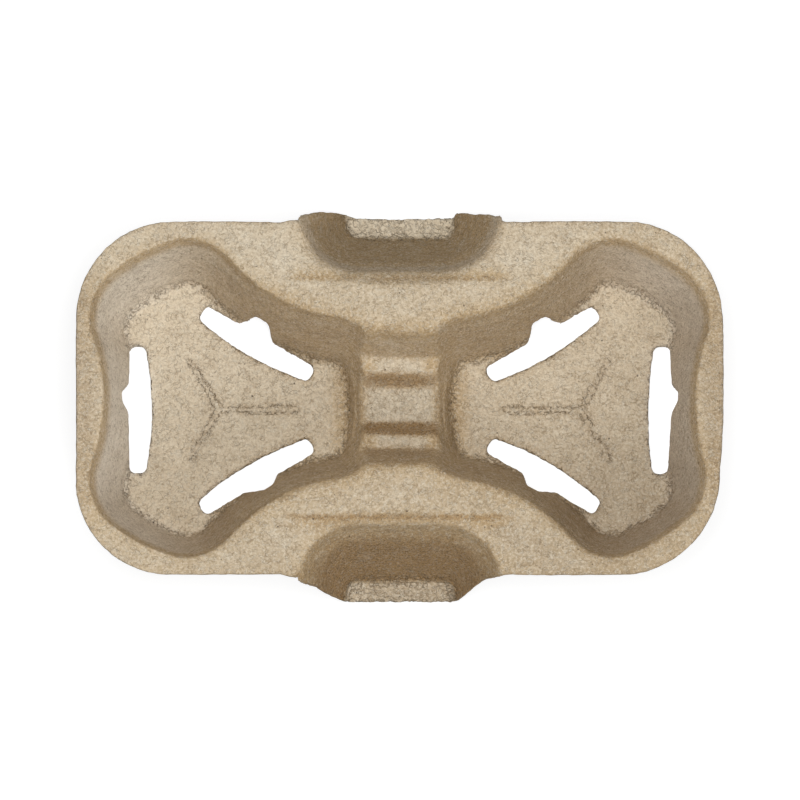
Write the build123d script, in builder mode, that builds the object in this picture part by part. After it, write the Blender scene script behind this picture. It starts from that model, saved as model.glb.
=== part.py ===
from build123d import *
from math import acos, cos, radians, sin, sqrt, tan
import os

# Two-cup carrier, moulded in one piece from paper pulp, standing on the table at z = 0.
# The origin is at the middle of its base, X runs along its length and Y across it.

# Pulp wall
wall = 1.8
wall_draft = 14.9

# Cup pockets: a round plan pinched by three tabs, drawn at the deck
deck_height = 42.0
tab_turn = 120.0
lobe_radius = 54.8
end_tab_radius = 37.6
inner_tab_radius = 39.2
tab_curve_radius = 60.0
outer_lobe_corner = 19.0
inner_lobe_corner = 14.0
bridge_width = 13.6
rim_radius = 2.0
floor_radius = 3.0

# Deck around the pockets
side_flange = 5.8
end_flange = 4.5
deck_corner_radius = 32.0
crown_rise = 2.2
crown_end_gap = 4.7
crown_gap = 2.2
crown_slope = 45.0

# Finger grips at the two long sides
grip_draft = 22.5
grip_rim_radius = 3.0
foot_width = 34.5
foot_tread = 6.4
foot_corner_radius = 4.0
foot_reach = 5.9
foot_rise = 20.0

# Stepped saddle in the bridge between the pockets
saddle_height = 17.0
saddle_width = 10.4
step_height = 24.0
step_inner = 10.0
step_outer = 15.0
saddle_draft = 19.0
saddle_corner_radius = 2.4
saddle_crest_radius = 3.0

# Slots under the tabs
slot_inner = 21.2
slot_width = 7.5
end_slot_shift = 1.7
slot_bow = 2.2
slot_half_length = 21.4
slot_end_radius = 1.9
notch_corner_radius = 1.2
# Where each notch starts, peaks and ends along its slot, and how deep it cuts into the tab
end_notch = (-2.6, 2.0, 4.0, 8.0)
end_notch_depth = 2.2
back_notch = (-8.9, -4.2, 0.7, 4.4)
front_notch = (-6.2, -0.6, 2.7, 6.2)
inner_notch_depth = 3.9

# Three-armed rib pressed into each pocket floor
rib_width = 2.8
rib_height = 0.9
rib_reach = 19.5
rib_bridge_reach = 26.5
rib_taper = 30.0

# How far the forms that cut and trim the carrier reach past it
overshoot = 30.0
# The least share of its length that a seam between two stretches of a pocket's wall rises
seam_steepness = 0.9

# Places worked out from the sizes above
floor_top = wall
lobe_axis = tab_turn / 2
bridge_axis = 3 * lobe_axis
hollow_height = deck_height - floor_top + crown_rise + wall
slot_height = deck_height / 2
corner_offset = lobe_radius - outer_lobe_corner
pocket_offset = lobe_radius + bridge_width / 2
wall_run = (deck_height - floor_top) * tan(radians(wall_draft))
grip_run = (deck_height - floor_top) * tan(radians(grip_draft))


def corner_angle(tab_radius):
    """How far an outer lobe's rounded corner is turned from the axis of the tab beside it."""
    tab_centre = tab_radius + tab_curve_radius
    reach = tab_curve_radius + outer_lobe_corner
    return acos((corner_offset**2 + tab_centre**2 - reach**2) / (2 * corner_offset * tab_centre))


def tab_rim_length(half_width):
    """How far along X the rim of an inner tab is, at a place that far from the carrier's middle line."""
    reach = inner_tab_radius + tab_curve_radius
    depth = reach * sin(radians(tab_turn)) - half_width
    return pocket_offset + reach * cos(radians(tab_turn)) + sqrt(tab_curve_radius**2 - depth**2)


side_corner_turn = radians(tab_turn) - corner_angle(inner_tab_radius)
deck_half_width = corner_offset * sin(side_corner_turn) + outer_lobe_corner + side_flange
end_corner_reach = corner_offset * cos(corner_angle(end_tab_radius)) + outer_lobe_corner
deck_half_length = pocket_offset + end_corner_reach + end_flange
base_half_width = deck_half_width + foot_reach
foot_wall = base_half_width - foot_tread
grip_wall = foot_wall - grip_run
crown_half_width = grip_wall - crown_gap
crown_half_length = tab_rim_length(crown_half_width) - crown_end_gap
form_half_width = base_half_width + overshoot / 2


def side_growth(drop, draft):
    """How far a drafted wall's far skin moves sideways when it is lowered, to keep the wall's thickness."""
    return drop * (1 - sin(radians(draft))) / cos(radians(draft))


def pocket_hollow(drop):
    """The space of one pocket, at +X, with its skin lowered for the underside."""
    set_in = wall_run - side_growth(drop, wall_draft)
    tabs = ((0, end_tab_radius), (tab_turn, inner_tab_radius), (-tab_turn, inner_tab_radius))
    with BuildPart() as hollow:
        with BuildSketch(Plane((pocket_offset, 0, floor_top - drop))) as outline:
            Circle(lobe_radius - set_in)
            for axis, tab_radius in tabs:
                turn = radians(axis)
                reach = tab_radius + tab_curve_radius
                with Locations((reach * cos(turn), reach * sin(turn))):
                    Circle(tab_curve_radius + set_in, mode=Mode.SUBTRACT)
            fillet(outline.vertices().sort_by(Axis.X)[2:], outer_lobe_corner - set_in)
            fillet(outline.vertices().sort_by(Axis.X)[:2], inner_lobe_corner - set_in)
        extrude(amount=hollow_height, taper=-wall_draft)
        fillet(hollow.edges().group_by(Axis.Z)[0], floor_radius + drop)
    return hollow.part


def grip_hollow(drop):
    """The space of one finger grip, at +Y, narrowing to the foot at its base."""
    growth = side_growth(drop, grip_draft)
    far = form_half_width + overshoot
    with BuildPart() as hollow:
        with BuildSketch(Plane.XY.offset(floor_top - drop)) as foot:
            with Locations((0, far)):
                Rectangle(foot_width + 2 * growth, 2 * (far - foot_wall + growth))
            fillet(foot.vertices().group_by(Axis.Y)[0], foot_corner_radius + growth)
        extrude(amount=hollow_height, taper=-grip_draft)
        foot_edges = hollow.edges().group_by(Axis.Z)[0].filter_by_position(Axis.Y, 0, far)
        fillet(foot_edges, floor_radius + drop)
    return hollow.part


def crown_block(drop):
    """The low crown on the bridge, an arch along X with sloping long sides."""
    top = deck_height - drop
    half_length = crown_half_length - side_growth(drop, crown_slope)
    half_width = crown_half_width - side_growth(drop, crown_slope)
    crest_half_width = half_width - crown_rise * tan(radians(crown_slope))
    with BuildPart() as crown:
        with BuildSketch(Plane.XZ):
            with BuildLine():
                Spline(
                    (-half_length, top),
                    (0, top + crown_rise),
                    (half_length, top),
                    tangents=[(1, 0), (1, 0)],
                )
                Line((half_length, top), (-half_length, top))
            make_face()
        extrude(amount=half_width, both=True)
        with BuildSketch(Plane.YZ):
            with BuildLine():
                Polyline(
                    (-half_width, top),
                    (half_width, top),
                    (crest_half_width, top + crown_rise),
                    (-crest_half_width, top + crown_rise),
                    close=True,
                )
            make_face()
        extrude(amount=half_length, both=True, mode=Mode.INTERSECT)
    return crown.part


def saddle_hollow(drop):
    """The stepped notch through the bridge."""
    growth = side_growth(drop, saddle_draft)
    reach = deck_height + 2 * saddle_crest_radius
    spread = (reach - step_height + drop) * tan(radians(saddle_draft))
    half = (
        (step_outer + growth + spread, reach),
        (step_outer + growth, step_height - drop),
        (step_inner + growth, step_height - drop),
        (saddle_width / 2 + growth, saddle_height - drop),
    )
    with BuildPart() as hollow:
        with BuildSketch(Plane.YZ) as section:
            with BuildLine():
                Polyline(*half, *[(-y, z) for y, z in reversed(half)], close=True)
            make_face()
            step_corners = [corner for corner in section.vertices() if corner.Z < deck_height]
            fillet(step_corners, saddle_corner_radius)
        extrude(amount=pocket_offset, both=True)
    return hollow.part


def floor_rib(drop, axis, reach):
    """One arm of the rib on the floor of the pocket at +X."""
    turn = radians(axis)
    root = (pocket_offset, 0, floor_top - drop - rib_height)
    plane = Plane(origin=root, x_dir=(cos(turn), sin(turn), 0), z_dir=(0, 0, 1))
    with BuildPart() as rib:
        with BuildSketch(plane):
            with Locations((reach / 2, 0)):
                SlotOverall(reach + rib_width, rib_width)
        extrude(amount=2 * rib_height, taper=rib_taper)
    return rib.part


def is_crest(edge, top):
    """Whether an edge is where the saddle's slope meets the crown."""
    middle = edge @ 0.5
    return middle.Z > top + crown_rise / 2 and abs(middle.X) < wall


def is_wall_seam(edge):
    """Whether an edge runs up a pocket's wall, between two stretches of it."""
    rise = abs((edge @ 1).Z - (edge @ 0).Z)
    return rise > seam_steepness * edge.length


def mould_form(drop, base, round_rim):
    """The solid below one skin of the carrier: its top skin, or its underside when lowered."""
    top = deck_height - drop
    pocket = pocket_hollow(drop)
    grip = grip_hollow(drop)
    arms = ((bridge_axis, rib_bridge_reach), (lobe_axis, rib_reach), (-lobe_axis, rib_reach))
    ribs = [floor_rib(drop, axis, reach) for axis, reach in arms]
    with BuildPart() as form:
        with BuildSketch(Plane.XY.offset(base)):
            Rectangle(2 * (deck_half_length + overshoot), 2 * form_half_width)
        extrude(amount=top - base)
        add(crown_block(drop))
        add(saddle_hollow(drop), mode=Mode.SUBTRACT)
        crests = [edge for edge in form.edges(Select.LAST) if is_crest(edge, top)]
        fillet(crests, saddle_crest_radius)
        add([pocket, mirror(pocket, about=Plane.YZ)], mode=Mode.SUBTRACT)
        if round_rim:
            rim = [
                edge
                for edge in form.edges(Select.LAST)
                if (edge @ 0.5).Z > saddle_height / 2 and not is_wall_seam(edge)
            ]
            fillet(rim, round_rim)
        add([grip, mirror(grip, about=Plane.XZ)], mode=Mode.SUBTRACT)
        grip_rim = [
            edge
            for edge in form.edges(Select.LAST).filter_by_position(Axis.Z, top - wall, top + wall)
            if abs((edge @ 0.5).Y) < form_half_width - wall
        ]
        fillet(grip_rim, grip_rim_radius - drop)
        add(ribs + [mirror(rib, about=Plane.YZ) for rib in ribs])
    return form.part


def is_slot_end(corner, plane):
    """Whether a corner of a slot's outline is at one of its two ends."""
    along = abs(plane.to_local_coords(corner).Y)
    return along > slot_half_length - 2 * slot_end_radius


def slot_cutter(axis, shift, notch, notch_depth):
    """A slot through the floor and the foot of one tab, drawn outward and along the tab."""
    turn = radians(axis)
    plane = Plane(origin=(pocket_offset, 0, 0), x_dir=(cos(turn), sin(turn), 0), z_dir=(0, 0, 1))
    start, peak_start, peak_end, end = notch
    inner = slot_inner + shift
    outer = inner + slot_width
    with BuildPart() as cutter:
        with BuildSketch(plane) as outline:
            with BuildLine():
                Polyline(
                    (inner + slot_bow, -slot_half_length),
                    (outer, -slot_half_length),
                    (outer, start),
                    (outer + notch_depth, peak_start),
                    (outer + notch_depth, peak_end),
                    (outer, end),
                    (outer, slot_half_length),
                    (inner + slot_bow, slot_half_length),
                )
                ThreePointArc(
                    (inner + slot_bow, slot_half_length), (inner, 0), (inner + slot_bow, -slot_half_length)
                )
            make_face()
            end_corners = [corner for corner in outline.vertices() if is_slot_end(corner, plane)]
            fillet(end_corners, slot_end_radius)
            notch_corners = [corner for corner in outline.vertices() if not is_slot_end(corner, plane)]
            fillet(notch_corners, notch_corner_radius)
        extrude(amount=slot_height)
    return cutter.part


def trim_block():
    """The carrier's outer outline: the deck's own, and the grips' edges that bulge out down to the feet."""
    edge_height = deck_height - wall
    with BuildPart() as block:
        with BuildSketch(Plane.YZ):
            with BuildLine():
                Polyline((0, edge_height), (0, 0), (base_half_width, 0), (base_half_width, foot_rise))
                EllipticalCenterArc(
                    (deck_half_width, foot_rise), foot_reach, edge_height - foot_rise, arc_size=90
                )
                Line((deck_half_width, edge_height), (0, edge_height))
            make_face()
            mirror(about=Plane.YZ)
        extrude(amount=deck_half_length, both=True)
        with BuildSketch(Plane.XY.offset(edge_height)):
            RectangleRounded(2 * deck_half_length, 2 * deck_half_width, deck_corner_radius)
        extrude(amount=wall + 2 * crown_rise)
    return block.part


top_form = mould_form(0, 0, rim_radius)
under_form = mould_form(wall, -overshoot, 0)
outline_block = trim_block()
right_slots = [
    slot_cutter(0, end_slot_shift, end_notch, end_notch_depth),
    slot_cutter(tab_turn, 0, back_notch, inner_notch_depth),
    mirror(slot_cutter(tab_turn, 0, front_notch, inner_notch_depth), about=Plane.XZ),
]

with BuildPart() as cup_carrier:
    add(top_form)
    add(outline_block, mode=Mode.INTERSECT)
    add(under_form, mode=Mode.SUBTRACT)
    add(right_slots + [mirror(slot, about=Plane.YZ) for slot in right_slots], mode=Mode.SUBTRACT)

cup_carrier.part.label = "cup_carrier"
os.makedirs("parts", exist_ok=True)
export_step(cup_carrier.part, "parts/cup_carrier.step")
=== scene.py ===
import math
from types import SimpleNamespace

import bpy
import numpy as np
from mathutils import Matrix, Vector, noise


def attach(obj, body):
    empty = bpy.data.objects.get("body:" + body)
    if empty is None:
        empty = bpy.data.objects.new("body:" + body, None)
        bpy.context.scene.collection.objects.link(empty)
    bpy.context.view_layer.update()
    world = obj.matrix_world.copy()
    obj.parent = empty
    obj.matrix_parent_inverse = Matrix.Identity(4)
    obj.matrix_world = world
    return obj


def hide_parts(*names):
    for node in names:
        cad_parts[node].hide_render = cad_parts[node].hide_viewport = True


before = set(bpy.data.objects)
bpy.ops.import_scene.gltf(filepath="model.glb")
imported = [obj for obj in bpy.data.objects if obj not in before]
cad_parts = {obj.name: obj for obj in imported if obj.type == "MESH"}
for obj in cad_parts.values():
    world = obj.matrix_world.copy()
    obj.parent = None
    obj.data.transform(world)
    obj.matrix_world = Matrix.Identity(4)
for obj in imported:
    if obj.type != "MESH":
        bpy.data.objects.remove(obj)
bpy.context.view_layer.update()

MM = 0.001

# The photograph: nearly straight down, a little from the front, from far away
VIEW_ELEVATION = 84.0
VIEW_DISTANCE = 2500 * MM
VIEW_WIDTH = 267.5 * MM
SENSOR = 36.0
CLIP_START, CLIP_END = 0.05, 20
DECK_HEIGHT = 42 * MM
AIM = Vector((0, -0.84 * MM, DECK_HEIGHT))

# The lamps, as place, size and power in metres and watts, and what they face
OVERHEAD_LAMP = (Vector((-0.02, -0.01, 0.55)), 0.28, 2.15)
FRONT_LAMP = (Vector((0.38, -0.82, 0.80)), 0.45, 3.9)
LAMP_AIM = Vector((0, 0, 0.02))

# The world's soft light, the white that the camera sees, and the floor
SOFT_WORLD = 0.24
WHITE_WORLD = 1.0
FLOOR_BOUNCE = 0.25
FLOOR_COLOUR = 0.35
FLOOR_GLOW = 0.80
FLOOR_REACH = 3.0
FLOOR_LEVEL = -0.1 * MM

# The pulp shell's mesh, and how many rounds its edges are smoothed, all over and at its soft places
REMESH_VOXEL = 0.6 * MM
SHELL_TRIANGLES = 190000
EDGE_ROUNDS = 3
SOFT_ROUNDS = 34
SMOOTH_FACTOR = 0.5

# How far the skin wavers, over what distance, and the seed that keeps it the same each time
SKIN_SEED = 11
SAG_SIZE, SAG_DEPTH = 26 * MM, 0.35 * MM
LUMP_SIZE, LUMP_DEPTH = 4 * MM, 0.16 * MM
GRAIN_SIZE, GRAIN_DEPTH = 1.5 * MM, 0.10 * MM

# Wrinkles in the pulp, where it was drawn into a corner of the mould
WRINKLE_SIZE = 2.4 * MM
WRINKLE_DEPTH = 1.0 * MM
WRINKLE_REST = 0.2
WRINKLE_LEAST = 0.01
GRIP_FOOT_WRINKLED = 0.6
SADDLE_WRINKLED = 0.35
RIBS_WRINKLED = 0.08

# The rib arms on the pocket floors, as the frame has them, and how far they swell
POCKET_X = 61.6 * MM
ARM_TURNS = (60, -60, 180)
ARM_LENGTH = 26 * MM
ARM_END = 2 * MM
ARM_SWELL = 0.25 * MM

# The real one's outline against the frame's: how much wider it is, and how far its right corners draw in,
# the front one in length and width, the back one in length
WIDTH_STRETCH = 1.007
FRONT_CORNER_IN = (1.9 * MM, 0.9 * MM)
BACK_CORNER_IN = 1.0 * MM

# How far the grips' cut edges lie outside the frame's, from left to right: place and distance in mm
BACK_TRIM = (
    (-40, 0), (-37, 0.6), (-35, 0.8), (-33.4, -0.4), (-31, -1.1), (-28, -0.7), (-25, -0.1), (-21, 0.8),
    (-18, 1.0), (-15, 0), (18.2, 0), (19.4, 1.2), (22, 0.5), (25, -0.9), (28.5, -1.5), (32, -1.7), (34, 0),
)
FRONT_TRIM = (
    (-40, 0), (-37, 0.9), (-35, 1.0), (-33.4, -0.8), (-31, -2.3), (-28, -3.0), (-25, -1.9), (-19.5, -0.2),
    (-18, 0), (18.5, 0), (20.3, -0.4), (24.6, -3.3), (27.4, -5.0), (30, -5.5), (34, -4.0), (36, 0),
)

# The grips' edges are read in cells 1 mm wide, a few past each end, and evened over some cells
DECK_HALF_WIDTH = 59 * MM
GRIP_REACH = 12 * MM
CELL = 1 * MM
CELLS_PAST = 3
CELLS_EVENED = 5
MOST_SHRINK = 0.94

# How far the deck droops toward the pockets and grips, and over how many rounds
DROOP = 1.3 * MM
DROOP_ROUNDS = 120
SADDLE_DROOP = 1.6

# How far the crown's two sloping steps lie from the middle line
CROWN_STEP = 39.8 * MM

# How much less far the saddle's outer steps reach to each side than its middle one
STEPS_NARROWER = 3.5 * MM

# How many rounds the walls' brown, partly painted shade, is spread over the skin: close by, as a halo and as
# a wide halo, and how much stronger than that the halos of painted shade show at the rims
BROWN_ROUNDS = 7
HALO_ROUNDS = 30
WIDE_ROUNDS = 70
HALO_GAIN = 1.5
WIDE_GAIN = 1.7

# How steep the skin is where a wall begins and where it is a wall, by the upward part of its normal
WALL_SLOPE = (0.985, 0.62)

# How strongly the edges round over: least and more on the saddle and the rims, and at the grips' ears
SADDLE_SOFT = (0.42, 0.58)
RIM_SOFT = (0.5, 0.5)
EAR_SOFT = 0.4

# Brown of the walls, partly the pulp's browner tone and partly painted shade: everywhere, more at the bridge
# but less beside the saddle, more painted shade where they face the back or lie to the right, and less under
# the rims
WALL_BROWN = 0.04
BRIDGE_BROWN = 0.35
BESIDE_SADDLE_LESS = 0.55
TURNED_AWAY_SHADE = 0.2
UNDER_RIM_LESS = 0.3

# Painted shade in brown in the grips, deeper down in them, and at the crown's steps as a shadow line and the
# shade beside it: at the back, and how much more at the front
GRIP_SHADE = (0, 0.52)
DEEP_GRIP_SHADE = (0.32, 0.36)
CROWN_SHADOW_LINE = (0.45, 0.37)
CROWN_SHADE_BROWN = (0.08, 0.32)

# Painted shade in brown on the saddle's risers, outer and inner: facing the front, and how much more facing
# the back
RISER_SHADE = (0.3, 0.3)
INNER_RISER_SHADE = (0.6, 0.55)

# Painted shade in brown on the saddle, the rims' shoulders and the deck's ends, and how much of it the
# grips' feet lose
SADDLE_SHADE = 0.16
SHOULDER_SHADE = 0.24
END_SHADE = 0.3
FOOT_LESS = 0.9

# Tan of the same places, mostly painted shade too
RIM_SHADE_TAN = 0.9
GRIP_RIM_LESS = 0.3
BACK_GRIP_LESS = 0.55
CROWN_SHADE_TAN = 0.85
SADDLE_SHADE_TAN = 0.8
BRIDGE_TAN = 0.6
END_SHADE_TAN = 0.2

# Painted light in cream on the grips' feet and on the pockets' floors
FOOT_PAINTED_LIGHT = 0.75
FLOOR_PAINTED_LIGHT = 0.16

# Colours of the pulp, linear; the tan and brown also serve as painted shade, the grey and cream as painted
# light
PULP = (0.600, 0.500, 0.365)
PULP_TAN_SHADE = (0.540, 0.390, 0.215)
PULP_BROWN_SHADE = (0.370, 0.232, 0.104)
PULP_GREY_LIGHT = (0.800, 0.710, 0.590)
PULP_CREAM_LIGHT = (0.800, 0.665, 0.475)
PULP_DARK = (0.235, 0.160, 0.088)
PULP_PALE = (0.860, 0.790, 0.650)
PULP_PIT = (0.120, 0.080, 0.045)
SPECK = (0.050, 0.034, 0.022)
ROUGHNESS = 0.92
SPECULAR = 0.18

# The pulp's noise: offset in mm, scale for each mm, detail and roughness
MOTTLE = ((0, 0, 0), 0.14, 4.0, 0.6)
FELT = ((40, 0, 9), 1.1, 4.0, 0.75)
PITS = ((8, 71, 5), 1.7, 3.0, 0.8)
CRUMPLE = ((12, 5, 44), 0.42, 2.0, 0.6)
RELIEF = ((3, 60, 2), 1.6, 4.0, 0.62)

# Values at which a colour starts and is strongest, and that strength
FRONT_DARKER = (0, -90, 0.44)
BACK_PALER = (-10, 90, 0.28)
MOTTLE_DARK = (0.52, 0.75, 0.25)
MOTTLE_PALE = (0.46, 0.24, 0.22)
FELT_DARK = (0.5, 0.66, 0.40)
FELT_PALE = (0.5, 0.34, 0.42)
PITS_DARK = (0.50, 0.60, 0.85)

# How much the shade across the deck turns from front to back toward right to left
SLANT = 0.45

# Fibres: offset in mm, scale, half width of the line and share left out, then their colour and height
DARK_STRANDS = ((7, 31, 3), 0.58, 0.045, 0.48)
PALE_STRANDS = ((90, 4, 17), 0.72, 0.050, 0.50)
STRAND_DETAIL, STRAND_ROUGH = 1.5, 0.6
PATCH_SCALE, PATCH_DETAIL, PATCH_ROUGH = 0.8, 0.0, 0.5
PATCH_FADE = 0.06
DARK_STRAND_COLOUR, PALE_STRAND_COLOUR = 0.52, 0.42
DARK_STRAND_HEIGHT, PALE_STRAND_HEIGHT = -0.30, 0.40

# Brown places show fewer pale fibres: the brown at which that starts and ends, and the share that is left
BROWN_CLEAN = (0.2, 0.9, 1.0, 0.5)

# Creases at the wrinkled places: their width, the painted shade in them and their height
CREASE_WIDTH = 0.045
CREASE_SHADE = 0.52
CREASE_HEIGHT = -1.1

# Specks of bark: cells for each mm, the share of cells without one, the least and most radius, strength
SPECK_CELLS = 0.42
SPECK_LEFT_OUT = 0.80
SPECK_RADIUS = (0.05, 0.14)
SPECK_STRENGTH = 0.75

# The bump of fibres and felt that is too fine for the mesh
FELT_HEIGHT = 0.7
BUMP_STRENGTH = 0.9
BUMP_DISTANCE = 0.5 * MM


def make_camera():
    """A long lens at the photograph's angle."""
    data = bpy.data.cameras.new("camera")
    camera = bpy.data.objects.new("camera", data)
    bpy.context.scene.collection.objects.link(camera)
    tilt = math.radians(VIEW_ELEVATION)
    back = Vector((0, -math.cos(tilt), math.sin(tilt)))
    camera.location = AIM + back * VIEW_DISTANCE
    camera.rotation_mode = "QUATERNION"
    camera.rotation_quaternion = (-back).to_track_quat("-Z", "Y")
    data.sensor_width = SENSOR
    data.lens = SENSOR * VIEW_DISTANCE / VIEW_WIDTH
    data.clip_start = CLIP_START
    data.clip_end = CLIP_END
    bpy.context.scene.camera = camera


def area_light(name, place, size, power):
    """A soft square lamp that faces the middle of the carrier."""
    data = bpy.data.lights.new(name, "AREA")
    data.size = size
    data.energy = power
    lamp = bpy.data.objects.new(name, data)
    bpy.context.scene.collection.objects.link(lamp)
    lamp.location = place
    lamp.rotation_mode = "QUATERNION"
    lamp.rotation_quaternion = (LAMP_AIM - lamp.location).to_track_quat("-Z", "Y")
    lamp.visible_camera = False


def seen_ray(tree):
    """1 for rays that the camera sees, straight, mirrored or through glass."""
    path = tree.nodes.new("ShaderNodeLightPath")
    total = path.outputs["Is Camera Ray"]
    for name in ("Is Glossy Ray", "Is Transmission Ray"):
        most = tree.nodes.new("ShaderNodeMath")
        most.operation = "MAXIMUM"
        tree.links.new(total, most.inputs[0])
        tree.links.new(path.outputs[name], most.inputs[1])
        total = most.outputs[0]
    return total


def plain_shader(tree, kind, level, strength=None):
    """A grey shader of one level, with its strength where it has one."""
    node = tree.nodes.new("ShaderNode" + kind)
    node.inputs["Color"].default_value = (level, level, level, 1)
    if strength is not None:
        node.inputs["Strength"].default_value = strength
    return node.outputs[0]


def seen_or_not(tree, unseen, seen, out_kind):
    """Shows one shader to the camera and another to the light that bounces about."""
    mix = tree.nodes.new("ShaderNodeMixShader")
    out = tree.nodes.new(out_kind)
    tree.links.new(seen_ray(tree), mix.inputs["Fac"])
    tree.links.new(unseen, mix.inputs[1])
    tree.links.new(seen, mix.inputs[2])
    tree.links.new(mix.outputs[0], out.inputs["Surface"])


def make_lights():
    """Two lamps in a soft world that looks white."""
    area_light("overhead_lamp", *OVERHEAD_LAMP)
    area_light("front_lamp", *FRONT_LAMP)
    world = bpy.data.worlds.new("world")
    world.use_nodes = True
    bpy.context.scene.world = world
    tree = world.node_tree
    tree.nodes.clear()
    soft = plain_shader(tree, "Background", 1, SOFT_WORLD)
    white = plain_shader(tree, "Background", 1, WHITE_WORLD)
    seen_or_not(tree, soft, white, "ShaderNodeOutputWorld")


def floor_material():
    """A white table that keeps a faint shadow."""
    material = bpy.data.materials.new("floor")
    material.use_nodes = True
    tree = material.node_tree
    tree.nodes.clear()
    matte = plain_shader(tree, "BsdfDiffuse", FLOOR_COLOUR)
    glow = plain_shader(tree, "Emission", 1, FLOOR_GLOW)
    dim = plain_shader(tree, "BsdfDiffuse", FLOOR_BOUNCE)
    add = tree.nodes.new("ShaderNodeAddShader")
    tree.links.new(matte, add.inputs[0])
    tree.links.new(glow, add.inputs[1])
    seen_or_not(tree, dim, add.outputs[0], "ShaderNodeOutputMaterial")
    return material


def make_floor():
    """A plain square table top, a hair under the carrier's feet."""
    mesh = bpy.data.meshes.new("floor")
    turns = ((-1, -1), (1, -1), (1, 1), (-1, 1))
    corners = [(x * FLOOR_REACH, y * FLOOR_REACH, FLOOR_LEVEL) for x, y in turns]
    mesh.from_pydata(corners, [], [(0, 1, 2, 3)])
    floor = bpy.data.objects.new("floor", mesh)
    bpy.context.scene.collection.objects.link(floor)
    mesh.materials.append(floor_material())


class PulpNodes:
    """Short calls for the nodes that the pulp repeats, all on one point of the skin in mm."""

    def __init__(self, tree):
        self.tree = tree
        place = tree.nodes.new("ShaderNodeTexCoord")
        scaled = tree.nodes.new("ShaderNodeVectorMath")
        scaled.operation = "SCALE"
        tree.links.new(place.outputs["Object"], scaled.inputs[0])
        scaled.inputs["Scale"].default_value = 1 / MM
        self.point = scaled.outputs[0]

    def attribute(self, name):
        node = self.tree.nodes.new("ShaderNodeAttribute")
        node.attribute_name = name
        return node.outputs["Fac"]

    def shift(self, offset):
        node = self.tree.nodes.new("ShaderNodeVectorMath")
        node.operation = "ADD"
        self.tree.links.new(self.point, node.inputs[0])
        node.inputs[1].default_value = offset
        return node.outputs[0]

    def noise(self, offset, scale, detail, rough, output="Fac"):
        node = self.tree.nodes.new("ShaderNodeTexNoise")
        self.tree.links.new(self.shift(offset), node.inputs["Vector"])
        node.inputs["Scale"].default_value = scale
        node.inputs["Detail"].default_value = detail
        node.inputs["Roughness"].default_value = rough
        return node.outputs[output]

    def cells(self, scale):
        node = self.tree.nodes.new("ShaderNodeTexVoronoi")
        self.tree.links.new(self.point, node.inputs["Vector"])
        node.inputs["Scale"].default_value = scale
        return node

    def channels(self, colour):
        node = self.tree.nodes.new("ShaderNodeSeparateColor")
        self.tree.links.new(colour, node.inputs[0])
        return node.outputs

    def maths(self, operation, *values):
        node = self.tree.nodes.new("ShaderNodeMath")
        node.operation = operation
        for slot, value in zip(node.inputs, values):
            if isinstance(value, (int, float)):
                slot.default_value = value
            else:
                self.tree.links.new(value, slot)
        return node.outputs[0]

    def between(self, value, low, high, low_out, high_out):
        node = self.tree.nodes.new("ShaderNodeMapRange")
        self.tree.links.new(value, node.inputs["Value"])
        node.inputs["From Min"].default_value = low
        node.inputs["From Max"].default_value = high
        node.inputs["To Min"].default_value = low_out
        node.inputs["To Max"].default_value = high_out
        return node.outputs[0]

    def share(self, value, start, full, most):
        """0 at start, rising to most at full."""
        return self.between(value, start, full, 0.0, most)

    def ridge(self, value, width):
        """1 where the noise is midway, falling to 0 at width from there: a wandering line."""
        return self.between(self.maths("ABSOLUTE", self.maths("SUBTRACT", value, 0.5)), 0.0, width, 1.0, 0.0)

    def blend(self, factor, first, second):
        node = self.tree.nodes.new("ShaderNodeMix")
        node.data_type = "RGBA"
        self.tree.links.new(factor, node.inputs["Factor"])
        for slot, value in ((node.inputs[6], first), (node.inputs[7], second)):
            if isinstance(value, tuple):
                slot.default_value = (*value, 1)
            else:
                self.tree.links.new(value, slot)
        return node.outputs[2]

    def strands(self, offset, scale, width, cover):
        """Thin wandering lines, broken into short lengths."""
        thin = self.ridge(self.noise(offset, scale, STRAND_DETAIL, STRAND_ROUGH), width)
        patch = self.noise(offset, scale * PATCH_SCALE, PATCH_DETAIL, PATCH_ROUGH, "Color")
        kept = self.share(self.channels(patch)[1], cover, cover + PATCH_FADE, 1.0)
        return self.maths("MULTIPLY", thin, kept)


def skin_tint(kit, brown):
    """The pulp's colour before its grain: grey and cream places of painted light, tan and brown places of
    mostly painted shade, and the shade across them.
    """
    axes = kit.tree.nodes.new("ShaderNodeSeparateXYZ")
    kit.tree.links.new(kit.point, axes.inputs[0])
    slant = kit.maths("SUBTRACT", axes.outputs[1], kit.maths("MULTIPLY", axes.outputs[0], SLANT))
    # grey and cream: painted light
    colour = kit.blend(kit.attribute("grey"), PULP, PULP_GREY_LIGHT)
    colour = kit.blend(kit.attribute("cream"), colour, PULP_CREAM_LIGHT)
    colour = kit.blend(kit.share(slant, *FRONT_DARKER), colour, PULP_DARK)
    colour = kit.blend(kit.share(slant, *BACK_PALER), colour, PULP_PALE)
    # tan and brown: mostly painted shade
    colour = kit.blend(kit.attribute("tan"), colour, PULP_TAN_SHADE)
    return kit.blend(brown, colour, PULP_BROWN_SHADE)


def add_specks(kit, colour):
    """Small dark specks of bark, one in some of the cells."""
    cells = kit.cells(SPECK_CELLS)
    chance = kit.channels(cells.outputs["Color"])
    reach = kit.between(chance[1], 0.0, 1.0, *SPECK_RADIUS)
    dot = kit.maths("LESS_THAN", cells.outputs["Distance"], reach)
    speck = kit.maths("MULTIPLY", dot, kit.maths("GREATER_THAN", chance[0], SPECK_LEFT_OUT))
    return kit.blend(kit.maths("MULTIPLY", speck, SPECK_STRENGTH), colour, SPECK)


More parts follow.
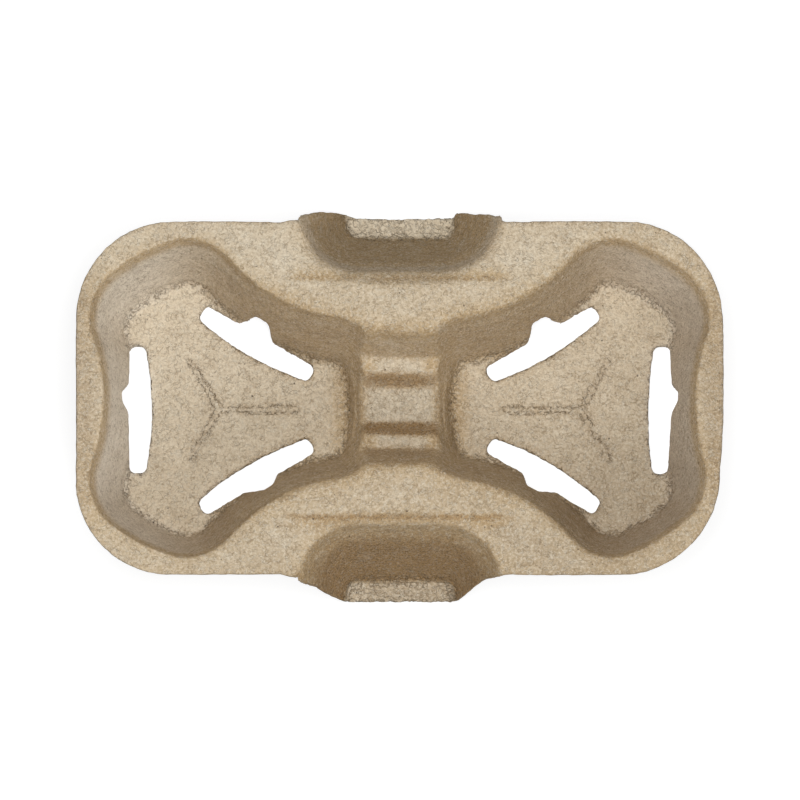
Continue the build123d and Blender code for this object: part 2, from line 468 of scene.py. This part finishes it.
def pulp_material():
    """Grey-brown paper pulp: matted fibres, mottling, creases darkened with painted shade and specks of
    bark.
    """
    material = bpy.data.materials.new("pulp")
    material.use_nodes = True
    tree = material.node_tree
    shader = tree.nodes["Principled BSDF"]
    shader.inputs["Roughness"].default_value = ROUGHNESS
    shader.inputs["Specular IOR Level"].default_value = SPECULAR
    kit = PulpNodes(tree)
    brown = kit.attribute("brown")
    mottle = kit.noise(*MOTTLE)
    felt = kit.noise(*FELT)
    pits = kit.maths("MULTIPLY", kit.share(kit.noise(*PITS), *PITS_DARK), brown)
    clean = kit.between(brown, *BROWN_CLEAN)
    pale_felt = kit.maths("MULTIPLY", kit.share(felt, *FELT_PALE), clean)
    dark_strands = kit.strands(*DARK_STRANDS)
    pale_strands = kit.strands(*PALE_STRANDS)
    clean_strands = kit.maths("MULTIPLY", pale_strands, clean)
    crease = kit.maths("MULTIPLY", kit.ridge(kit.noise(*CRUMPLE), CREASE_WIDTH), kit.attribute("wrinkled"))

    colour = skin_tint(kit, brown)
    colour = kit.blend(kit.share(mottle, *MOTTLE_DARK), colour, PULP_DARK)
    colour = kit.blend(kit.share(mottle, *MOTTLE_PALE), colour, PULP_PALE)
    colour = kit.blend(kit.share(felt, *FELT_DARK), colour, PULP_DARK)
    colour = kit.blend(pits, colour, PULP_PIT)
    colour = kit.blend(pale_felt, colour, PULP_PALE)
    colour = kit.blend(kit.maths("MULTIPLY", dark_strands, DARK_STRAND_COLOUR), colour, PULP_DARK)
    colour = kit.blend(kit.maths("MULTIPLY", clean_strands, PALE_STRAND_COLOUR), colour, PULP_PALE)
    # painted shade along the creases
    colour = kit.blend(kit.maths("MULTIPLY", crease, CREASE_SHADE), colour, PULP_DARK)
    tree.links.new(add_specks(kit, colour), shader.inputs["Base Color"])

    height = kit.maths("ADD", kit.noise(*RELIEF), kit.maths("MULTIPLY", felt, FELT_HEIGHT))
    for layer, lift in (
        (dark_strands, DARK_STRAND_HEIGHT), (pale_strands, PALE_STRAND_HEIGHT), (crease, CREASE_HEIGHT),
    ):
        height = kit.maths("ADD", height, kit.maths("MULTIPLY", layer, lift))
    bump = tree.nodes.new("ShaderNodeBump")
    bump.inputs["Strength"].default_value = BUMP_STRENGTH
    bump.inputs["Distance"].default_value = BUMP_DISTANCE
    tree.links.new(height, bump.inputs["Height"])
    tree.links.new(bump.outputs[0], shader.inputs["Normal"])
    return material


def apply_modifiers(piece):
    """Puts the result of the piece's modifiers into its mesh."""
    graph = bpy.context.evaluated_depsgraph_get()
    made = bpy.data.meshes.new_from_object(piece.evaluated_get(graph))
    piece.modifiers.clear()
    piece.data = made


def rows(mesh, name):
    """The mesh's points ("co") or normals, one row for each."""
    values = np.empty(len(mesh.vertices) * 3)
    mesh.vertices.foreach_get(name, values)
    return values.reshape(-1, 3)


def edge_ends(mesh):
    """The first and the second point of each edge."""
    ends = np.empty(len(mesh.edges) * 2, dtype=np.int64)
    mesh.edges.foreach_get("vertices", ends)
    return ends.reshape(-1, 2).T


def move_points(mesh, points):
    """Puts the mesh's points in their new places."""
    mesh.vertices.foreach_set("co", points.ravel())
    mesh.update()


def fade(value, start, end):
    """0 at start and beyond, 1 at end and beyond, smooth between them."""
    share = np.clip((value - start) / (end - start), 0, 1)
    return share * share * (3 - 2 * share)


def fade_mm(value, start, end):
    """The same for a distance, with start and end in mm."""
    return fade(value, start * MM, end * MM)


def spread(values, ends, rounds):
    """Evens the points' values out along the mesh's edges."""
    first, second = ends
    count = len(values)
    links = np.bincount(first, minlength=count) + np.bincount(second, minlength=count)
    for _ in range(rounds):
        near = np.bincount(first, values[second], count) + np.bincount(second, values[first], count)
        values = 0.5 * values + 0.5 * near / np.maximum(links, 1)
    return values


def rib_arms(points):
    """1 on the crests of the pocket floors' rib arms, falling to 0 beside them."""
    x, y = np.abs(points[:, 0]) - POCKET_X, points[:, 1]
    arms = np.zeros(len(points))
    half = ARM_LENGTH / 2
    for turn in np.radians(ARM_TURNS):
        along = x * np.cos(turn) + y * np.sin(turn)
        across = y * np.cos(turn) - x * np.sin(turn)
        inside = fade(np.abs(along - half), half + ARM_END, half - ARM_END)
        arms = np.maximum(arms, inside * fade_mm(np.abs(across), 3.6, 0.2))
    return arms * fade_mm(points[:, 2], 6, 4)


def wrinkled_places(points, normals):
    """How strongly each point is wrinkled: at the feet of walls, on the grips' feet and the saddle."""
    x, y, z = np.abs(points[:, 0]), np.abs(points[:, 1]), points[:, 2]
    steep = 1 - np.abs(normals[:, 2])
    foot_of_wall = fade_mm(z, 10, 3) * fade(steep, 0.01, 0.12) * fade(steep, 1.0, 0.7)
    grip_foot = GRIP_FOOT_WRINKLED * fade_mm(y, 54, 58) * fade_mm(z, 8, 4) * fade_mm(x, 24, 18)
    saddle = fade_mm(x, 16, 11) * fade_mm(y, 9, 6) * fade_mm(z, 22, 18)
    ribs = RIBS_WRINKLED * rib_arms(points)
    return np.clip(foot_of_wall + grip_foot + SADDLE_WRINKLED * saddle + ribs, 0, 1)


def ruffle(mesh):
    """Gives the skin its slight unevenness, lumps, grain and wrinkles."""
    points = rows(mesh, "co")
    normals = rows(mesh, "normal")
    noise.seed_set(SKIN_SEED)
    wrinkled = wrinkled_places(points, normals)
    swell = rib_arms(points) * ARM_SWELL * fade(normals[:, 2], 0.3, 0.7)
    moved = points.copy()
    for index in range(len(points)):
        point = Vector(points[index])
        sag = noise.noise_vector(point / SAG_SIZE) * SAG_DEPTH
        lump = noise.noise(point / LUMP_SIZE) * LUMP_DEPTH
        grain = noise.noise(point / GRAIN_SIZE) * GRAIN_DEPTH
        push = lump + grain + swell[index] * (1 + noise.noise(point / LUMP_SIZE))
        if wrinkled[index] > WRINKLE_LEAST:
            crease = abs(noise.noise(point / WRINKLE_SIZE + noise.noise_vector(point / LUMP_SIZE)))
            push += (WRINKLE_REST - crease) * WRINKLE_DEPTH * wrinkled[index]
        moved[index] += np.array(sag) + normals[index] * push
    moved[:, 2] = np.maximum(moved[:, 2], 0)
    move_points(mesh, moved)


def soft_places(points):
    """How strongly each point's edges are rounded over: the saddle, the crown and the grips' rims."""
    x, y, z = np.abs(points[:, 0]), np.abs(points[:, 1]), points[:, 2]
    saddle = fade_mm(x, 30, 22) * fade_mm(y, 46, 40) * fade_mm(z, 12, 17)
    saddle *= SADDLE_SOFT[0] + SADDLE_SOFT[1] * fade_mm(x, 7, 12)
    rims = fade_mm(x, 78, 60) * fade_mm(y, 57, 51) * fade_mm(z, 30, 36)
    rims *= RIM_SOFT[0] + RIM_SOFT[1] * fade_mm(x, 46, 38)
    ears = EAR_SOFT * fade_mm(x, 46, 40) * fade_mm(z, 34, 38)
    return np.clip(np.maximum.reduce([saddle, rims, ears]), 0, 1)


def soften(shell):
    """Rounds the soft places' edges further than the rest."""
    group = shell.vertex_groups.new(name="soft")
    for index, weight in enumerate(soft_places(rows(shell.data, "co"))):
        if weight > 0:
            group.add([index], float(weight), "REPLACE")
    more = shell.modifiers.new("soften", "SMOOTH")
    more.factor = SMOOTH_FACTOR
    more.iterations = SOFT_ROUNDS
    more.vertex_group = "soft"
    apply_modifiers(shell)
    shell.vertex_groups.clear()


def outer_edge(x, out, places):
    """How far out the grip reaches beside each point, read cell by cell and evened."""
    last = int((places[-1] - places[0]) / CELL) + 2 * CELLS_PAST
    cell = np.clip(((x - places[0]) / CELL).astype(int) + CELLS_PAST, 0, last)
    edge = np.zeros(cell.max() + 1)
    np.maximum.at(edge, cell, out)
    evened = np.ones(CELLS_EVENED) / CELLS_EVENED
    edge = np.convolve(np.pad(edge, CELLS_EVENED // 2, "edge"), evened, "valid")
    return np.interp(x, places[0] + (np.arange(len(edge)) - (CELLS_PAST - 0.5)) * CELL, edge)


def trim_edges(mesh):
    """Brings the outline to the real one's trim: the width, the right corners and the grips' cut edges."""
    points = rows(mesh, "co")
    x, y = points[:, 0].copy(), points[:, 1].copy()
    corners_in = FRONT_CORNER_IN[0] * fade_mm(y, 5, -38) + BACK_CORNER_IN * fade_mm(y, 20, 45)
    points[:, 0] -= fade_mm(x, 60, 100) * corners_in
    for side, trim in ((1, BACK_TRIM), (-1, FRONT_TRIM)):
        places, moves = np.array(trim).T * MM
        out = side * y
        edge = outer_edge(x, out, places)
        move = np.interp(x, places, moves)
        beyond = np.maximum(out - DECK_HALF_WIDTH, 0)
        shrink = np.clip(-move / np.maximum(edge - DECK_HALF_WIDTH, MM), 0, MOST_SHRINK)
        grown = move * fade(edge - out, GRIP_REACH, 0)
        points[:, 1] += side * np.where(move > 0, grown, -beyond * shrink)
    points[:, 1] = points[:, 1] * WIDTH_STRETCH
    points[:, 1] += FRONT_CORNER_IN[1] * fade_mm(x, 72, 92) * fade_mm(y, -30, -50)
    move_points(mesh, points)


def droop_rims(mesh):
    """Rounds the deck over toward the pockets and grips, wider than the frame does."""
    points = rows(mesh, "co")
    steep = fade(np.abs(rows(mesh, "normal")[:, 2]), *WALL_SLOPE)
    near = spread(steep, edge_ends(mesh), DROOP_ROUNDS)
    x, y, z = np.abs(points[:, 0]), np.abs(points[:, 1]), points[:, 2]
    inner = fade_mm(x, 84, 62) * fade_mm(y, 57, 50) * fade_mm(z, 30, 37)
    saddle = fade_mm(x, 18, 14) * fade_mm(y, 28, 23) * fade_mm(z, 10, 14)
    points[:, 2] -= DROOP * near * np.maximum(inner, SADDLE_DROOP * saddle)
    move_points(mesh, points)


def skin_places(mesh):
    """How far each point belongs to each place of the skin, from 0 to 1.

    Each pair of numbers says, in mm, where a place begins to fade in and where it is full.
    """
    points, normals, ends = rows(mesh, "co"), rows(mesh, "normal"), edge_ends(mesh)
    x, y, z = np.abs(points[:, 0]), np.abs(points[:, 1]), points[:, 2]
    below = DECK_HEIGHT - z
    past = y - CROWN_STEP
    steep = spread(fade(np.abs(normals[:, 2]), *WALL_SLOPE), ends, BROWN_ROUNDS)
    halo = spread(steep, ends, HALO_ROUNDS)
    wide = spread(halo, ends, WIDE_ROUNDS)
    top = fade_mm(below, 11, 4)
    near_rim = np.clip(HALO_GAIN * halo, 0, 1)
    far_rim = np.clip(WIDE_GAIN * wide, 0, 1) * fade_mm(x, 70, 40)
    grip = fade_mm(y, 36, 46) * fade_mm(x, 46, 36)
    platform_end = x + STEPS_NARROWER * fade_mm(y, 9, 12)
    crown = fade_mm(below, 3, 0.5) * fade_mm(x, 42, 31)
    return SimpleNamespace(
        steep=steep,
        halo=halo,
        top=top,
        # a halo of painted shade where the deck rounds over into the walls
        rim_shade=np.maximum(near_rim, far_rim) * top,
        shoulder=fade_mm(x, 60, 30) * fade_mm(y, 40, 34),
        middle=fade_mm(x, 92, 40),
        front=fade_mm(points[:, 1], 30, -30),
        backward=fade_mm(points[:, 1], -90, 40),
        rightward=fade_mm(points[:, 0], 40, 95),
        grip=grip,
        deep_grip=grip * fade_mm(z, 38, 20) * fade_mm(x, 36, 20),
        foot=fade_mm(y, 57, 60) * fade_mm(z, 6, 4),
        floor=fade_mm(z, 5, 3) * fade(normals[:, 2], 0.8, 0.95),
        # painted shade on the saddle beyond its middle platform
        saddle=fade_mm(y, 26, 21) * fade_mm(platform_end, 9.5, 13.5) * fade_mm(x, 26, 18),
        riser=fade_mm(y, 28, 24) * fade_mm(x, 15, 9),
        inner_riser=fade_mm(y, 16, 13),
        beside_saddle=fade_mm(x, 34, 24) * fade_mm(y, 24, 17),
        faces_back=fade(normals[:, 1], -0.2, 0.3),
        outer_faces_back=fade(normals[:, 1], 0, 0.7) * fade_mm(x, 40, 60),
        # a painted shadow line along the crown's steps, and painted shade beside them
        crown_shadow_line=fade_mm(past, 2.3, 0.5) * fade_mm(past, -0.8, -0.1) * crown,
        crown_shade=fade_mm(past, 8, 0.5) * fade_mm(past, -1.3, -0.1) * crown,
        # painted shade at the deck's two ends
        shaded_deck_end=fade_mm(x, 99, 105) * fade_mm(y, 50, 28) * fade_mm(below, 5, 2),
        wrinkled=wrinkled_places(points, normals),
    )


def rising(levels, share):
    """The first level, and so much of the second on top as the share says."""
    return levels[0] + levels[1] * share


def wall_brown_and_shade(at):
    """How brown the walls are, partly the pulp's browner tone and partly painted shade: most at the bridge,
    in the grips and on the saddle's risers.
    """
    plain = WALL_BROWN + BRIDGE_BROWN * at.middle * (1 - BESIDE_SADDLE_LESS * at.beside_saddle)
    # painted shade on walls that face the back or lie to the right
    plain += TURNED_AWAY_SHADE * (at.outer_faces_back + at.rightward)
    # painted shade in the grips, more at the front and deeper down
    grips = rising(GRIP_SHADE, at.front) * at.grip + rising(DEEP_GRIP_SHADE, at.front) * at.deep_grip
    # painted shade on the saddle's risers, more where they face the back
    risers = rising(RISER_SHADE, at.faces_back) + rising(INNER_RISER_SHADE, at.faces_back) * at.inner_riser
    brown = at.steep * np.maximum.reduce([plain, grips, risers * at.riser])
    return brown * (1 - UNDER_RIM_LESS * at.halo * at.top)


def brown_and_painted_shade(at):
    """How brown the skin is, mostly as painted shade: its walls, the saddle, the crown's steps, the rims and
    the deck's ends.
    """
    brown = np.maximum.reduce([
        wall_brown_and_shade(at),
        SADDLE_SHADE * at.saddle,
        rising(CROWN_SHADOW_LINE, at.front) * at.crown_shadow_line,
        rising(CROWN_SHADE_BROWN, at.front) * at.crown_shade,
        SHOULDER_SHADE * at.rim_shade * at.shoulder,
        END_SHADE * at.shaded_deck_end,
    ])
    return np.clip(brown * (1 - FOOT_LESS * at.foot), 0, 1)


def tan_and_painted_shade(at):
    """How tan the skin is, mostly as painted shade: the rims, the walls of the bridge and the grips, the
    saddle and the crown.
    """
    tan = np.maximum.reduce([
        RIM_SHADE_TAN * at.rim_shade * (1 - GRIP_RIM_LESS * at.grip),
        at.steep * at.grip * (1 - BACK_GRIP_LESS * at.top * (1 - at.front)),
        CROWN_SHADE_TAN * at.crown_shade,
        END_SHADE_TAN * at.shaded_deck_end,
        SADDLE_SHADE_TAN * at.saddle,
        BRIDGE_TAN * at.steep * at.middle,
    ])
    return np.clip(tan * (1 - FOOT_LESS * at.foot), 0, 1)


def add_layers(mesh):
    """Stores how brown, tan, grey, cream and wrinkled the skin is, for its material; the brown and tan are
    mostly painted shade, the grey and cream painted light.
    """
    at = skin_places(mesh)
    layers = {
        "brown": brown_and_painted_shade(at),
        "tan": tan_and_painted_shade(at),
        # painted light: the outer walls and the back grip's upper wall made lighter and greyer
        "grey": at.steep * np.maximum(1 - at.middle, at.grip * at.top * (1 - at.front)),
        # painted light on the grips' feet, more toward the back, and on the pockets' floors
        "cream": np.maximum(FOOT_PAINTED_LIGHT * at.foot * at.backward, FLOOR_PAINTED_LIGHT * at.floor),
        "wrinkled": at.wrinkled,
    }
    for name, values in layers.items():
        layer = mesh.attributes.new(name, "FLOAT", "POINT")
        layer.data.foreach_set("value", values.astype(np.float32))


def make_shell():
    """The pulp shell: the CAD form with softened edges and a felted skin."""
    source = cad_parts["cup_carrier"]
    shell = bpy.data.objects.new("pulp_shell", source.data.copy())
    bpy.context.scene.collection.objects.link(shell)
    remesh = shell.modifiers.new("remesh", "REMESH")
    remesh.mode = "VOXEL"
    remesh.voxel_size = REMESH_VOXEL
    smooth = shell.modifiers.new("smooth", "SMOOTH")
    smooth.factor = SMOOTH_FACTOR
    smooth.iterations = EDGE_ROUNDS
    apply_modifiers(shell)
    soften(shell)
    trim_edges(shell.data)
    droop_rims(shell.data)
    ruffle(shell.data)
    triangles = sum(len(face.vertices) - 2 for face in shell.data.polygons)
    thin = shell.modifiers.new("thin", "DECIMATE")
    thin.ratio = min(1.0, SHELL_TRIANGLES / triangles)
    apply_modifiers(shell)
    add_layers(shell.data)
    shell.data.materials.clear()
    shell.data.materials.append(pulp_material())
    for face in shell.data.polygons:
        face.use_smooth = True
    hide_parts("cup_carrier")
    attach(shell, "root")


bpy.context.scene.view_settings.view_transform = "Standard"
make_camera()
make_lights()
make_floor()
make_shell()
